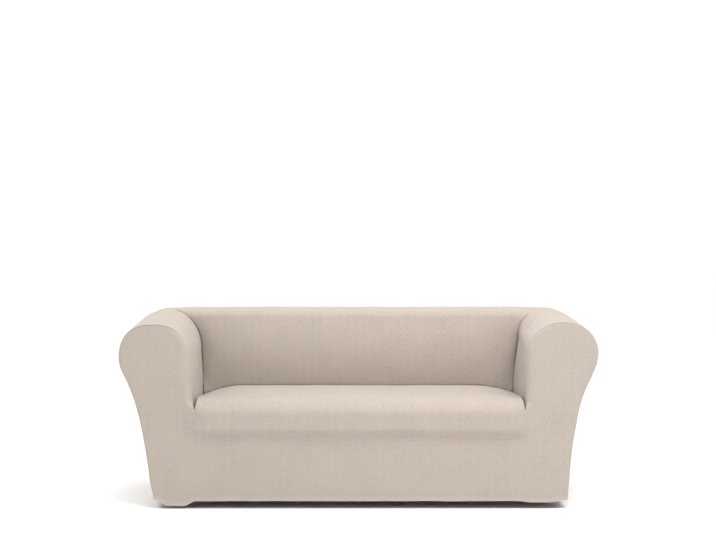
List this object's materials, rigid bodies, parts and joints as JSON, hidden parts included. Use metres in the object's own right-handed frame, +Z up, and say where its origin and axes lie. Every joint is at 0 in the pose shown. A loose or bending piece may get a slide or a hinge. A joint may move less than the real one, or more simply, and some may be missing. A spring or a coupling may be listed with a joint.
{
  "type": "sofa slipcover",
  "caption": "Fitted stretch slipcover for a low sofa with rolled arms: seat, inside and outside back, arms and arm fronts sewn edge to edge, hollow and open beneath.",
  "frame": {"origin": "underside of the cover's top, at the middle of the back, where the sofa's back holds the cover up", "axes": "+X across, to the right as seen from the front; +Y to the rear; +Z up"},
  "size_m": [1.933, 0.858, 0.7645],
  "materials": {
    "cloth": "matt beige stretch cloth with a fine herringbone weave"
  },
  "bodies": {
    "root": {"seat_panel": "cloth", "inside_back": "cloth", "outside_back": "cloth", "left_arm": "cloth", "right_arm": "cloth", "left_arm_front": "cloth", "right_arm_front": "cloth"}
  },
  "joints": []
}
